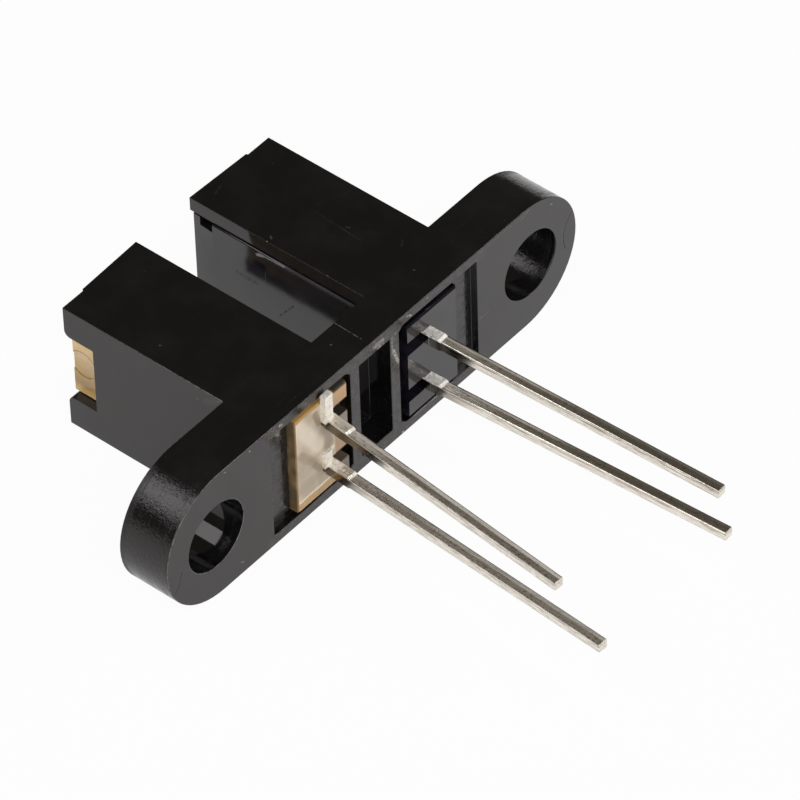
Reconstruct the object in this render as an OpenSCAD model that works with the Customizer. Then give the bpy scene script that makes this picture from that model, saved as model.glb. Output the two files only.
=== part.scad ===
// Slotted optical switch: a one-piece black housing with two towers and two screw ears,
// an amber infrared emitter package in one tower and a black sensor package in the other.
// Each package is a block cast round two square leads, a chip on a die pad and a bond wire.
// Frame: X along the flange, +Y from the seating face towards the tower tips, Z across the width.
// The origin is midway between the screw holes, on the seating face. All sizes in millimetres.

/* [Flange] */
// Length over both round ears
flange_l = 24.77; // [24.4:0.01:27]
// Thickness of the flange
flange_t = 2.41; // [2:0.01:3.2]
// Distance between the centres of the two screw holes
hole_spacing = 19.05; // [18.6:0.01:19.6]
// Diameter of the screw holes
hole_d = 3.2; // [2.6:0.05:3.6]

/* [Towers] */
// Width of the moulding, the same over the flange and the towers
width = 6.35; // [6:0.05:7.5]
// Length over the outer faces of the two towers
block_l = 12.35; // [12.1:0.05:12.8]
// Height of the tower tips above the seating face, at the slot
tip_h = 10.86; // [10:0.02:13]
// How far the tips fall from the slot to the outer wall
tip_fall = 0.12; // [0.04:0.01:0.3]
// Gap between the towers, which the sensed vane passes through
slot_gap = 3.18; // [3:0.01:3.4]
// Height of the slot's floor above the seating face
slot_floor = 1.84; // [1.5:0.01:2.3]
// Thickness of the two side plates of a tower
side_plate = 0.68; // [0.55:0.01:0.8]
// Thickness of the outer wall of a tower
outer_wall = 1.27; // [1.1:0.01:1.4]
// How far the outer wall ends below the side plates
wall_step = 0.08; // [0.04:0.01:0.2]

/* [Pockets] */
// Thickness of the wall beside the mouth of a package pocket
mouth_wall = 0.5; // [0.4:0.01:0.6]
// Depth of the wide mouth of a package pocket
mouth_depth = 0.34; // [0.2:0.01:0.7]
// Length over the outer ends of the two mouths
mouth_span = 12.46; // [12:0.02:12.9]
// Radius of a mouth's two corners beside the partition
mouth_r = 0.4; // [0.1:0.02:0.6]
// Thickness of the partition between a package pocket and the coring pocket
partition = 0.54; // [0.4:0.01:0.7]
// Depth of the coring pocket behind the slot's floor
core_depth = 1.15; // [0.8:0.01:1.2]
// Clearance on each side of a package in its pocket
package_gap = 0.03; // [0.01:0.01:0.06]

/* [Tip windows] */
// Width of the window in a tower's outer wall
window_w = 3.34; // [2.8:0.02:3.8]
// Length of the window, down from the end of the outer wall
window_l = 1.47; // [1.1:0.01:2]
// Radius of the window's two corners at the tip
window_r = 0.3; // [0.1:0.05:0.5]
// Clearance of the snap in its window
snap_gap = 0.06; // [0.03:0.01:0.12]
// How far the snap's face lies behind the tower's outer face
snap_drop = 0.42; // [0.3:0.01:0.6]
// Diameter of the round ejector mark on the snap's face
mark_d = 1.32; // [1:0.02:1.6]
// Distance of the ejector mark's middle from the end of the package's head
mark_in = 0.5; // [0.4:0.01:0.7]
// Depth of the ejector mark
mark_depth = 0.05; // [0.02:0.01:0.1]

/* [Packages] */
// How far a package's face stands proud of the side plates in the slot
face_proud = 0.09; // [0.04:0.01:0.15]
// How far a package's base stands out of the seating face
base_proud = 0.1; // [0.02:0.01:0.2]
// How far a package's head ends below the tower tip
head_drop = 0.2; // [0.12:0.01:0.3]
// Bevel round the base of a package
base_bevel = 0.08; // [0.04:0.01:0.3]
// Bevel along the two long edges of a package's slot face
face_bevel = 0.04; // [0.03:0.01:0.15]
// Length of the lead-in ramp at the head of the slot face
ramp_l = 1.03; // [0.6:0.01:1.5]
// Fall of the lead-in ramp
ramp_fall = 0.08; // [0.04:0.01:0.15]
// Length of the pick-up notch beside the ramp
nick_l = 0.68; // [0.4:0.01:0.9]
// Width of the pick-up notch
nick_w = 0.42; // [0.3:0.01:0.6]
// Depth of the pick-up notch
nick_depth = 0.4; // [0.2:0.01:0.6]

/* [Base teeth] */
// Set-back of the three teeth on the slot side of a package's base
tooth_setback = 0.34; // [0.2:0.01:0.5]
// Depth of the teeth and of the notches between them
tooth_depth = 0.6; // [0.4:0.01:0.9]
// Width of the notches, which lie in line with the leads
notch_w = 0.7; // [0.6:0.01:0.9]

/* [Leads] */
// Side of the square leads
lead_w = 0.45; // [0.4:0.01:0.55]
// Distance between the two leads of a package
lead_pitch = 2.54; // [2.3:0.01:2.8]
// Distance between the emitter's row of leads and the sensor's
row_spacing = 6; // [5.8:0.05:6.4]
// Width of the broad root where a lead leaves its package
root_w = 0.58; // [0.56:0.01:0.68]
// Length of the shoulder between a lead's root and its square part
shoulder_l = 0.12; // [0.05:0.01:0.25]
// Distance from the seating face to the bend of each lead
bend_out = 0.25; // [0.15:0.01:0.4]
// Length of the emitter's pad lead from the seating face
emitter_pad_lead_l = 12.48; // [8:0.02:20]
// Length of the emitter's wire lead from the seating face
emitter_wire_lead_l = 14.58; // [8:0.02:20]
// Length of the sensor's pad lead from the seating face
sensor_pad_lead_l = 14.25; // [8:0.02:20]
// Length of the sensor's wire lead from the seating face
sensor_wire_lead_l = 14.66; // [8:0.02:20]
// Outward lean of the emitter's pad lead, in degrees
emitter_pad_angle = 4.9; // [0:0.1:8]
// Outward lean of the emitter's wire lead, in degrees
emitter_wire_angle = 4.1; // [0:0.1:8]
// Outward lean of the sensor's pad lead, in degrees
sensor_pad_angle = 2.6; // [0:0.1:8]
// Outward lean of the sensor's wire lead, in degrees
sensor_wire_angle = 2.2; // [0:0.1:8]
// Lean of each lead towards its partner, in degrees
closing_angle = 1.1; // [0:0.1:3]
// Length of the broad root outside the package on the emitter's leads
emitter_root_l = 1.3; // [0.8:0.02:2]
// Length of the broad root outside the package on the sensor's leads
sensor_root_l = 0.85; // [0.6:0.02:2]
// Length of the tie-bar stub left on the emitter's pad lead
pad_stub_l = 1.3; // [0.6:0.02:1.6]
// Thickness of the tie-bar stub on the emitter's pad lead
pad_stub_t = 0.26; // [0.15:0.01:0.5]
// Length of the tie-bar stub left on the emitter's wire lead
wire_stub_l = 0.66; // [0.3:0.02:0.9]
// Thickness of the tie-bar stub on the emitter's wire lead
wire_stub_t = 0.14; // [0.1:0.01:0.4]
// How far the tie-bar stubs stand out of line with their leads, away from the slot
stub_shift = 0.17; // [0:0.01:0.2]

/* [Chips] */
// Height of the light path above the seating face
optic_h = 8; // [7:0.05:8.8]
// Side of the die pads
pad_w = 1.1; // [0.9:0.02:1.3]
// Side of the emitter chip
emitter_chip_w = 0.36; // [0.25:0.01:0.5]
// Side of the sensor chip
sensor_chip_w = 0.64; // [0.4:0.01:0.8]
// Thickness of both chips
chip_t = 0.2; // [0.12:0.01:0.3]
// Diameter of the bond wires
wire_d = 0.05; // [0.03:0.005:0.08]
// Rise of the bond wires over their ends
wire_rise = 0.34; // [0.2:0.01:0.5]

/* [Hidden] */
$fn = 96;
// Overlap of cuts past the faces that they open
over = 1;
// Which side of the slot a package stands on: the emitter in the -X tower, the sensor in the +X one
EMITTER = -1;
SENSOR = 1;
// Which lead of a package is meant: the one with the die pad is the upper one
PAD = 1;
WIRE = -1;

ear_r = width / 2;
ear_x = flange_l / 2 - ear_r;
block_x = block_l / 2;
slot_x = slot_gap / 2;
plate_end = tip_h - tip_fall;
wall_end = plate_end - wall_step;
window_y = wall_end - window_l;

face_x = slot_x - face_proud;
back_x = block_x - outer_wall - package_gap;
package_w = width - 2 * (side_plate + package_gap);
head_y = tip_h - head_drop;

pocket_in = face_x - package_gap;
pocket_out = back_x + package_gap;
pocket_w = package_w + 2 * package_gap;
core_x = pocket_in - partition;

snap_x = block_x - snap_drop;
snap_y = window_y + snap_gap;
snap_w = window_w - 2 * snap_gap;

row_x = row_spacing / 2;
lead_z = lead_pitch / 2;
frame_x = row_x - lead_w / 2;
chip_top = frame_x - chip_t;

// The wire is an arc from the middle of the chip's top to the middle of the wire lead's face
wire_chord = norm([chip_t, lead_z]);
wire_r = (wire_chord * wire_chord / 4 + wire_rise * wire_rise) / (2 * wire_rise);
wire_half = asin(wire_chord / 2 / wire_r);
wire_tilt = atan2(chip_t, lead_z);

// Places a shape that is drawn for the +X tower on the given side of the slot
module on_side(side) {
    if (side == SENSOR) children();
    else mirror([1, 0, 0]) children();
}

// Extrudes a flat outline in X and Z along +Y, from y0 to y1
module along_y(y0, y1) {
    translate([0, y0, 0]) rotate([-90, 0, 0]) linear_extrude(y1 - y0) children();
}

// Extrudes a flat outline in X and Y along Z, centred on the width
module along_z(w) {
    translate([0, 0, -w / 2]) linear_extrude(w) children();
}

// Extrudes a flat outline in Y and Z along +X, from x0 to x1
module along_x(x0, x1) {
    translate([x0, 0, 0]) rotate([90, 0, 90]) linear_extrude(x1 - x0) children();
}

// A box between two corners, centred on the width
module box(x0, x1, y0, y1, w) {
    translate([x0, y0, -w / 2]) cube([x1 - x0, y1 - y0, w]);
}

// Outline of the flange with its two round ears
module flange_outline() {
    square([2 * ear_x, width], center = true);
    for (side = [EMITTER, SENSOR]) translate([side * ear_x, 0]) circle(ear_r);
}

// The two screw holes
module screw_holes() {
    for (side = [EMITTER, SENSOR])
        translate([side * hole_spacing / 2, 0]) circle(d = hole_d);
}

// Outline of a tip window in Y and Z, open at the tip, with the corners there rounded off
module window_outline() {
    translate([window_y, -window_w / 2]) square([window_l + over, window_w]);
    for (turn = [-1, 1]) difference() {
        translate([wall_end - window_r, turn * (window_w + window_r) / 2 - window_r / 2])
            square([window_r + over, window_r]);
        translate([wall_end - window_r, turn * (window_w / 2 + window_r)]) circle(window_r);
    }
}

// What lies over a tower's tip in X and Y: the side plates end on a slope, the outer wall a step lower
module tip_outline() {
    polygon([
        [slot_x, tip_h],
        [pocket_out, plate_end],
        [pocket_out, wall_end],
        [block_x + over, wall_end],
        [block_x + over, tip_h + over],
        [slot_x, tip_h + over]
    ]);
}

// Outline of the wide mouth of a package pocket in X and Z, with the corners beside the partition rounded
module mouth_outline() {
    half = width / 2 - mouth_wall;
    difference() {
        translate([pocket_in, -half]) square([mouth_span / 2 - pocket_in, 2 * half]);
        for (turn = [-1, 1]) translate([pocket_in, turn * half]) difference() {
            square(2 * mouth_r, center = true);
            translate([mouth_r, -turn * mouth_r]) circle(mouth_r);
        }
    }
}

// All that is cut out of one tower: the package's pocket, its wide mouth, the tip and its window
module tower_cuts() {
    box(pocket_in, pocket_out, -over, tip_h + over, pocket_w);
    along_y(-over, mouth_depth) mouth_outline();
    along_x(pocket_out - package_gap, block_x + over) window_outline();
    along_z(width + over) tip_outline();
}

module housing() {
    color("#1a1a1b") difference() {
        union() {
            along_y(0, flange_t) flange_outline();
            box(-block_x, block_x, 0, tip_h, width);
        }
        along_y(-over, flange_t + over) screw_holes();
        box(-slot_x, slot_x, slot_floor, tip_h + over, width + over);
        box(-core_x, core_x, -over, core_depth, pocket_w);
        for (side = [EMITTER, SENSOR]) on_side(side) tower_cuts();
    }
}

// Section of a package in X and Y: toothed base, slot face with its lead-in ramp, and bevelled back
module package_section() {
    base = -base_proud;
    polygon([
        [face_x + tooth_setback, base],
        [face_x + tooth_setback, tooth_depth],
        [face_x, tooth_depth],
        [face_x, head_y - ramp_l],
        [face_x + ramp_fall, head_y],
        [back_x, head_y],
        [back_x, base + base_bevel],
        [back_x - base_bevel, base]
    ]);
}

// Section of a package in Y and Z, with the base's other two bevels
module package_side() {
    base = -base_proud;
    half = package_w / 2;
    polygon([
        [head_y, half],
        [base + base_bevel, half],
        [base, half - base_bevel],
        [base, base_bevel - half],
        [base + base_bevel, -half],
        [head_y, -half]
    ]);
}

// Plan of a package in X and Z, with the two bevels of its slot face
module package_plan() {
    half = package_w / 2;
    polygon([
        [face_x + face_bevel, half],
        [face_x, half - face_bevel],
        [face_x, face_bevel - half],
        [face_x + face_bevel, -half],
        [back_x, -half],
        [back_x, half]
    ]);
}

// The snap on a package's head, which stands in the tip window
module snap() {
    difference() {
        box(back_x - over, snap_x, snap_y, head_y, snap_w);
        translate([snap_x - mark_depth, head_y - mark_in, 0])
            rotate([0, 90, 0]) cylinder(d = mark_d, h = over);
    }
}

// The pick-up notches at the two edges of the slot face, beside the ramp
module nicks() {
    end_y = head_y - ramp_l + nick_l;
    for (turn = [-1, 1])
        translate([face_x - over, end_y - nick_l, turn * (package_w - nick_w) / 2 - nick_w / 2])
            translate([0, 0, -over * (1 - turn) / 2])
                cube([over + nick_depth, nick_l, nick_w + over]);
}

// The notches between the base's teeth, in line with the leads
module base_notches() {
    for (turn = [-1, 1])
        translate([0, 0, turn * lead_z])
            box(face_x - over, frame_x, -base_proud - over, tooth_depth, notch_w);
}

// The cast block of a package, solid, before its lead frame is set into it
module package_block() {
    difference() {
        union() {
            intersection() {
                along_z(package_w) package_section();
                along_x(0, block_l) package_side();
                along_y(-over, tip_h) package_plan();
            }
            snap();
        }
        nicks();
        base_notches();
    }
}

// One lead outside the package: broad root, shoulder and square part, leaning from its bend
module lead_outside(which, length, lean, root_l) {
    run = length - bend_out;
    root = root_l - bend_out;
    translate([row_x, -bend_out, which * lead_z])
        rotate([which * closing_angle, 0, lean])
            along_x(-lead_w / 2, lead_w / 2) polygon([
                [0, -root_w / 2],
                [-root, -root_w / 2],
                [-root - shoulder_l, -lead_w / 2],
                [-run, -lead_w / 2],
                [-run, lead_w / 2],
                [-root - shoulder_l, lead_w / 2],
                [-root, root_w / 2],
                [0, root_w / 2]
            ]);
}

// The straight part of a lead, from its bend to its end inside the package
module lead_inside(which, end_y) {
    translate([row_x, 0, which * lead_z])
        box(-lead_w / 2, lead_w / 2, -bend_out - root_w / 4, end_y, root_w);
}

// The lead that ends in the die pad
module pad_lead(length, lean, root_l) {
    lead_outside(PAD, length, lean, root_l);
    lead_inside(PAD, optic_h + pad_w / 2);
    translate([frame_x, optic_h - pad_w / 2, -pad_w / 2])
        cube([lead_w, pad_w, lead_z + root_w / 2 + pad_w / 2]);
}

// The lead that the bond wire goes to
module wire_lead(length, lean, root_l) {
    lead_outside(WIRE, length, lean, root_l);
    lead_inside(WIRE, optic_h + pad_w / 2);
}

// A piece of tie bar that was left on a lead of the emitter, pointing up beside the package's base
module tie_stub(which, length, thick) {
    translate([frame_x + stub_shift, -base_proud - thick, which * lead_z])
        cube([lead_w, thick, root_w / 2 + length]);
}

module chip(w) {
    box(chip_top, frame_x, optic_h - w / 2, optic_h + w / 2, w);
}

// A bond wire: an arc over the slot side of the lead frame, trimmed by what it is bonded to
module bond_wire(chip_w) {
    reach = wire_half + asin(wire_d / wire_r);
    mid_x = (chip_top + frame_x) / 2;
    difference() {
        translate([mid_x, optic_h, -lead_z / 2])
            rotate([0, -wire_tilt, 0])
                translate([wire_r - wire_rise, 0, 0])
                    rotate([90, 0, 0])
                        rotate([0, 0, 180 - reach])
                            rotate_extrude(angle = 2 * reach) translate([wire_r, 0]) circle(d = wire_d);
        chip(chip_w);
        lead_inside(WIRE, optic_h + pad_w / 2);
    }
}

module emitter_pad_part() {
    pad_lead(emitter_pad_lead_l, emitter_pad_angle, emitter_root_l);
    tie_stub(PAD, pad_stub_l, pad_stub_t);
}

module emitter_wire_part() {
    wire_lead(emitter_wire_lead_l, emitter_wire_angle, emitter_root_l);
    tie_stub(WIRE, wire_stub_l, wire_stub_t);
}

module sensor_pad_part() {
    pad_lead(sensor_pad_lead_l, sensor_pad_angle, sensor_root_l);
}

module sensor_wire_part() {
    wire_lead(sensor_wire_lead_l, sensor_wire_angle, sensor_root_l);
}

module emitter_body() {
    color("#d2a765") on_side(EMITTER) difference() {
        package_block();
        emitter_pad_part();
        emitter_wire_part();
        chip(emitter_chip_w);
        bond_wire(emitter_chip_w);
    }
}

module emitter_pad_lead() {
    color("#b9b4a8") on_side(EMITTER) emitter_pad_part();
}

module emitter_wire_lead() {
    color("#b9b4a8") on_side(EMITTER) emitter_wire_part();
}

module emitter_chip() {
    color("#6b6660") on_side(EMITTER) chip(emitter_chip_w);
}

module emitter_bond_wire() {
    color("#d9a93f") on_side(EMITTER) bond_wire(emitter_chip_w);
}

module sensor_body() {
    color("#242227") on_side(SENSOR) difference() {
        package_block();
        sensor_pad_part();
        sensor_wire_part();
        chip(sensor_chip_w);
        bond_wire(sensor_chip_w);
    }
}

module sensor_pad_lead() {
    color("#b9b4a8") on_side(SENSOR) sensor_pad_part();
}

module sensor_wire_lead() {
    color("#b9b4a8") on_side(SENSOR) sensor_wire_part();
}

module sensor_chip() {
    color("#4d5563") on_side(SENSOR) chip(sensor_chip_w);
}

module sensor_bond_wire() {
    color("#d9a93f") on_side(SENSOR) bond_wire(sensor_chip_w);
}

housing();
emitter_body();
emitter_pad_lead();
emitter_wire_lead();
emitter_chip();
emitter_bond_wire();
sensor_body();
sensor_pad_lead();
sensor_wire_lead();
sensor_chip();
sensor_bond_wire();
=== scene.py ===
"""Looks of a slotted optical switch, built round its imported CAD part.

The switch lies on its side on a pale floor: a glossy black moulding with two towers and two screw
ears, an amber emitter block in one tower, a black sensor block in the other, and four tinned leads.
Sizes in this file are in millimetres unless a name ends in _m; Blender's own units are metres.
"""

from __future__ import annotations

import logging
import math
from dataclasses import dataclass, field
from enum import Enum
from typing import Sequence

import bpy
from mathutils import Matrix, Vector


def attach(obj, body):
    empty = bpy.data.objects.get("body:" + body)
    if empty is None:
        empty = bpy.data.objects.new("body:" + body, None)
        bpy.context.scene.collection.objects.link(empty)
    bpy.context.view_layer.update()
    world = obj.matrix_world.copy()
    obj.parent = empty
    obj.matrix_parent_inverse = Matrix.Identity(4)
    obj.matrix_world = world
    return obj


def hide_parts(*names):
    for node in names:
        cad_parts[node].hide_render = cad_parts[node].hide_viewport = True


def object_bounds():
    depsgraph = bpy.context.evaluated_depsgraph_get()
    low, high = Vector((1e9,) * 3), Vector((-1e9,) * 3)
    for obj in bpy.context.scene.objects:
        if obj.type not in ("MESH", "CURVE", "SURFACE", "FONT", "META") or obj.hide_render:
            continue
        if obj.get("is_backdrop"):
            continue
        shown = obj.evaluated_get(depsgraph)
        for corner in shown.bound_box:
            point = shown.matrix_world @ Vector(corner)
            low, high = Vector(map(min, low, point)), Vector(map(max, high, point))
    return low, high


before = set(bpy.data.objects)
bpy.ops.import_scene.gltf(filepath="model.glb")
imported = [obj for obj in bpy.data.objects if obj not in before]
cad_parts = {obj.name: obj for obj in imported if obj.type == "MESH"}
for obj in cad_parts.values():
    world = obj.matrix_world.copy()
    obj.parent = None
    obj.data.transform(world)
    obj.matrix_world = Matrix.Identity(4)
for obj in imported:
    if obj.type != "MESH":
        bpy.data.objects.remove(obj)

LOG = logging.getLogger("optical_switch")
MM = 0.001
BODY = "root"

# Corners of a CAD mesh that lie closer than this are merged
MERGE_GAP = 0.0005
# Faces that differ by less than this angle, in degrees, are joined
FLAT_ANGLE = 0.5
# Edges sharper than this angle, in degrees, are rounded
SHARP_ANGLE = 30.0
# Edges of a lead longer than this get the wide rounding, with this many facets
LONG_EDGE = 5.0
LONG_EDGE_FACETS = 4
# Height of the leads' axes over and under the middle, at their bends
LEAD_LEVEL = 1.27
# A painted highlight placed here lies far from every lead's shoulder, so none shows
NO_FACET_Y = 9.0

Colour = tuple[float, float, float]
Triple = tuple[float, float, float]
Span = tuple[float, float]
Mark = tuple[Triple, Triple, float, float]
Socket = bpy.types.NodeSocket


class Slot(Enum):
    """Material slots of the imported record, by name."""

    HOUSING = "housing_plastic"
    AMBER = "amber_epoxy"
    BLACK = "black_epoxy"
    LEAD = "tinned_lead"


class Side(Enum):
    """Which tower a package stands in."""

    EMITTER = -1
    SENSOR = 1


# Node graphs


class Graph:
    """Builds the node tree of one material."""

    def __init__(self, name: str) -> None:
        """Starts an empty tree.

        Args:
            name: Name of the material.
        """
        self.material = bpy.data.materials.new(name)
        self.material.use_nodes = True
        self.tree = self.material.node_tree
        self.tree.nodes.clear()

    def add(
        self, kind: str, values: dict[str | int, object] | None = None, **settings: object,
    ) -> bpy.types.Node:
        """Adds a node.

        Args:
            kind: Type name of the node.
            values: Plain values or sockets for its inputs, by input name or number.
            **settings: Properties of the node.

        Returns:
            The node.
        """
        node = self.tree.nodes.new(kind)
        for key, value in settings.items():
            setattr(node, key, value)
        for key, value in (values or {}).items():
            self.put(node.inputs[key], value)
        return node

    def put(self, target: Socket, value: object) -> None:
        """Links a socket to an input, or sets the input's own value.

        Args:
            target: The input.
            value: Socket or plain value.
        """
        if isinstance(value, Socket):
            self.tree.links.new(value, target)
        else:
            target.default_value = value

    def place(
        self, scale: Triple = (1, 1, 1), turn: Triple = (0, 0, 0), shift: Triple = (0, 0, 0),
    ) -> Socket:
        """Gives the piece's own coordinates in millimetres.

        Args:
            scale: Factors on the coordinates after they are turned into millimetres.
            turn: Turn of the pattern, in degrees.
            shift: Shift of the pattern, in millimetres.

        Returns:
            A vector socket.
        """
        where = self.add("ShaderNodeTexCoord").outputs["Object"]
        mapping = self.add("ShaderNodeMapping", {
            "Vector": where,
            "Location": shift,
            "Rotation": tuple(math.radians(a) for a in turn),
            "Scale": tuple(s / MM for s in scale),
        })
        return mapping.outputs["Vector"]

    def axis(self, name: str) -> Socket:
        """Gives one coordinate of the piece, X, Y or Z, in millimetres."""
        return self.add("ShaderNodeSeparateXYZ", {"Vector": self.place()}).outputs[name]

    def off_middle(self, name: str) -> Socket:
        """Gives the distance from the middle of the part along X, Y or Z, in millimetres."""
        return self.math("ABSOLUTE", self.axis(name))

    def noise(self, vector: Socket, scale: float, detail: float = 3.0, rough: float = 0.5) -> Socket:
        """Gives a cloudy pattern.

        Args:
            vector: Coordinates of the pattern.
            scale: Clouds to a unit of the coordinates.
            detail: Layers of finer clouds.
            rough: Strength of each finer layer beside the one before.

        Returns:
            A value socket, about 0.5.
        """
        node = self.add("ShaderNodeTexNoise", {
            "Vector": vector, "Scale": scale, "Detail": detail, "Roughness": rough,
        })
        return node.outputs["Fac"]

    def math(self, kind: str, *values: object, clamp: bool = False) -> Socket:
        """Gives the result of a Math node.

        Args:
            kind: Operation of the node.
            *values: Sockets or numbers for its inputs in order.
            clamp: Keeps the result between 0 and 1.

        Returns:
            A value socket.
        """
        node = self.add("ShaderNodeMath", operation=kind, use_clamp=clamp)
        for target, value in zip(node.inputs, values):
            self.put(target, value)
        return node.outputs["Value"]

    def times(self, total: object, *others: object) -> Socket:
        """Gives the product of sockets and numbers.

        Args:
            total: The first of them.
            *others: The rest.

        Returns:
            A value socket.
        """
        for other in others:
            total = self.math("MULTIPLY", total, other)
        return total

    def most(self, total: object, *others: object) -> Socket:
        """Gives the greatest of sockets and numbers.

        Args:
            total: The first of them.
            *others: The rest.

        Returns:
            A value socket.
        """
        for other in others:
            total = self.math("MAXIMUM", total, other)
        return total

    def pile(self, base: Socket, shares: Sequence[tuple[Socket, float]]) -> Socket:
        """Adds several values to a base, each times its own amount.

        Args:
            base: The value to start from.
            shares: Values and their amounts.

        Returns:
            A value socket.
        """
        for share, amount in shares:
            base = self.math("MULTIPLY_ADD", share, amount, base)
        return base

    def reach(self, across: Socket, along: Socket) -> Socket:
        """Gives the distance from a point, from the distances along two axes."""
        squares = (self.math("POWER", gap, 2.0) for gap in (across, along))
        return self.math("SQRT", self.math("ADD", *squares))

    def step(self, value: Socket, low: float, high: float, soft: bool = True) -> Socket:
        """Rises from 0 to 1 as a value goes from low to high, where low may lie above high.

        Args:
            value: The value.
            low: Where the result is 0.
            high: Where the result is 1.
            soft: Eases both ends of the rise.

        Returns:
            A value socket.
        """
        node = self.add("ShaderNodeMapRange", {
            "Value": value, "From Min": low, "From Max": high, "To Min": 0.0, "To Max": 1.0,
        }, interpolation_type="SMOOTHSTEP" if soft else "LINEAR")
        return node.outputs["Result"]

    def span(self, value: Socket, low: float, high: float, blur: float) -> Socket:
        """Is 1 where a value lies between two others, and 0 outside.

        Args:
            value: The value.
            low: Lower end.
            high: Upper end.
            blur: Distance to each side over which an end is soft.

        Returns:
            A value socket.
        """
        up = self.step(value, low - blur, low + blur)
        down = self.step(value, high + blur, high - blur)
        return self.times(up, down)

    def range(self, value: Socket, low: float, high: float) -> Socket:
        """Maps 0 to 1 onto low to high."""
        node = self.add("ShaderNodeMapRange", {"Value": value, "To Min": low, "To Max": high})
        return node.outputs["Result"]

    def mix(self, share: object, first: object, second: object) -> Socket:
        """Mixes two colours.

        Args:
            share: How much of the second colour shows.
            first: Colour or socket.
            second: Colour or socket.

        Returns:
            A colour socket.
        """
        node = self.add("ShaderNodeMix", data_type="RGBA", blend_type="MIX")
        factor, colour_a, colour_b = (node.inputs[number] for number in (0, 6, 7))
        for target, value in ((factor, share), (colour_a, first), (colour_b, second)):
            self.put(target, (*value, 1.0) if isinstance(value, tuple) else value)
        return node.outputs[2]

    def ramp(self, value: Socket, stops: Sequence[tuple[float, Colour]]) -> Socket:
        """Runs a value through a colour ramp.

        Args:
            value: Value from 0 to 1.
            stops: Places and colours.

        Returns:
            A colour socket.
        """
        node = self.add("ShaderNodeValToRGB", {"Fac": value})
        bar = node.color_ramp.elements
        while len(bar) < len(stops):
            bar.new(0.5)
        for mark, (where, colour) in zip(bar, stops):
            mark.position = where
            mark.color = (*colour, 1.0)
        return node.outputs["Color"]

    def flecks(self, density: float, radius: float, share: float, shift: Triple = (0, 0, 0)) -> Socket:
        """Gives small scattered specks.

        Args:
            density: Cells to a millimetre.
            radius: Radius of a speck in millimetres.
            share: Share of the cells that hold one.
            shift: Shift of the pattern, in millimetres.

        Returns:
            A value socket, 1 in a speck.
        """
        cells = self.add("ShaderNodeTexVoronoi", {"Vector": self.place(shift=shift), "Scale": density})
        near = self.step(cells.outputs["Distance"], radius * density, 0.5 * radius * density)
        pick = self.add("ShaderNodeSeparateColor", {"Color": cells.outputs["Color"]}).outputs["Red"]
        return self.times(near, self.math("LESS_THAN", pick, share))

    def scratches(self, turn: Triple, thin: float, length: float, cut: float) -> Socket:
        """Gives fine scattered lines.

        Args:
            turn: Turn of the lines, in degrees; unturned they run along X.
            thin: Noise steps to a millimetre across the lines.
            length: Noise steps to a millimetre along them.
            cut: Noise value above which a line shows.

        Returns:
            A value socket, 1 in a line.
        """
        value = self.noise(self.place(scale=(length, thin, thin), turn=turn), 1.0, 1.0, 0.4)
        return self.step(value, cut, cut + 0.06)

    def vector(self, kind: str, values: dict[str | int, object]) -> bpy.types.Node:
        """Adds a Vector Math node."""
        return self.add("ShaderNodeVectorMath", values, operation=kind)

    def streak(self, start: Triple, end: Triple, width: float, soft: float = 0.5) -> Socket:
        """Gives one straight mark between two points.

        Args:
            start: First point, in millimetres.
            end: Second point, in millimetres.
            width: Full width of the mark, in millimetres.
            soft: Share of the width over which it fades out.

        Returns:
            A value socket, 1 along the mark.
        """
        run = Vector(end) - Vector(start)
        away = self.vector("SUBTRACT", {0: self.place(), 1: start}).outputs[0]
        along = self.vector("DOT_PRODUCT", {0: away, 1: run / run.length_squared}).outputs["Value"]
        share = self.math("ADD", along, 0.0, clamp=True)
        foot = self.vector("SCALE", {0: run, "Scale": share}).outputs[0]
        gap = self.vector("DISTANCE", {0: away, 1: foot}).outputs["Value"]
        return self.step(gap, 0.5 * width * (1 + soft), 0.5 * width * (1 - soft))

    def marks(self, lines: Sequence[Mark]) -> Socket:
        """Gives several marks at once.

        Args:
            lines: Start, end, width and strength of each mark.

        Returns:
            A value socket, as strong as the strongest mark at each place.
        """
        total: object = 0.0
        for start, end, width, strength in lines:
            total = self.most(total, self.times(self.streak(start, end, width), strength))
        return total

    def bump(
        self, height: Socket, depth: float, strength: float = 1.0, under: Socket | None = None,
    ) -> Socket:
        """Turns a height into a normal.

        Args:
            height: Height from 0 to 1.
            depth: Height of 1, in millimetres.
            strength: Strength of the effect.
            under: Normal that this one is added to.

        Returns:
            A normal socket.
        """
        node = self.add("ShaderNodeBump", {"Height": height, "Strength": strength, "Distance": depth * MM})
        if under is not None:
            self.put(node.inputs["Normal"], under)
        return node.outputs["Normal"]

    def finish(self, values: dict[str, object]) -> bpy.types.Material:
        """Adds the shader and its output.

        Args:
            values: Values or sockets of the Principled shader, by input name.

        Returns:
            The finished material.
        """
        shader = self.add("ShaderNodeBsdfPrincipled", values)
        out = self.add("ShaderNodeOutputMaterial")
        self.tree.links.new(shader.outputs["BSDF"], out.inputs["Surface"])
        return self.material


# Finishes
# A pair of places says where something begins to show and where it shows in full, and a third
# number after two sides is the blur of both. Marks are start, end, width and strength.


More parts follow.
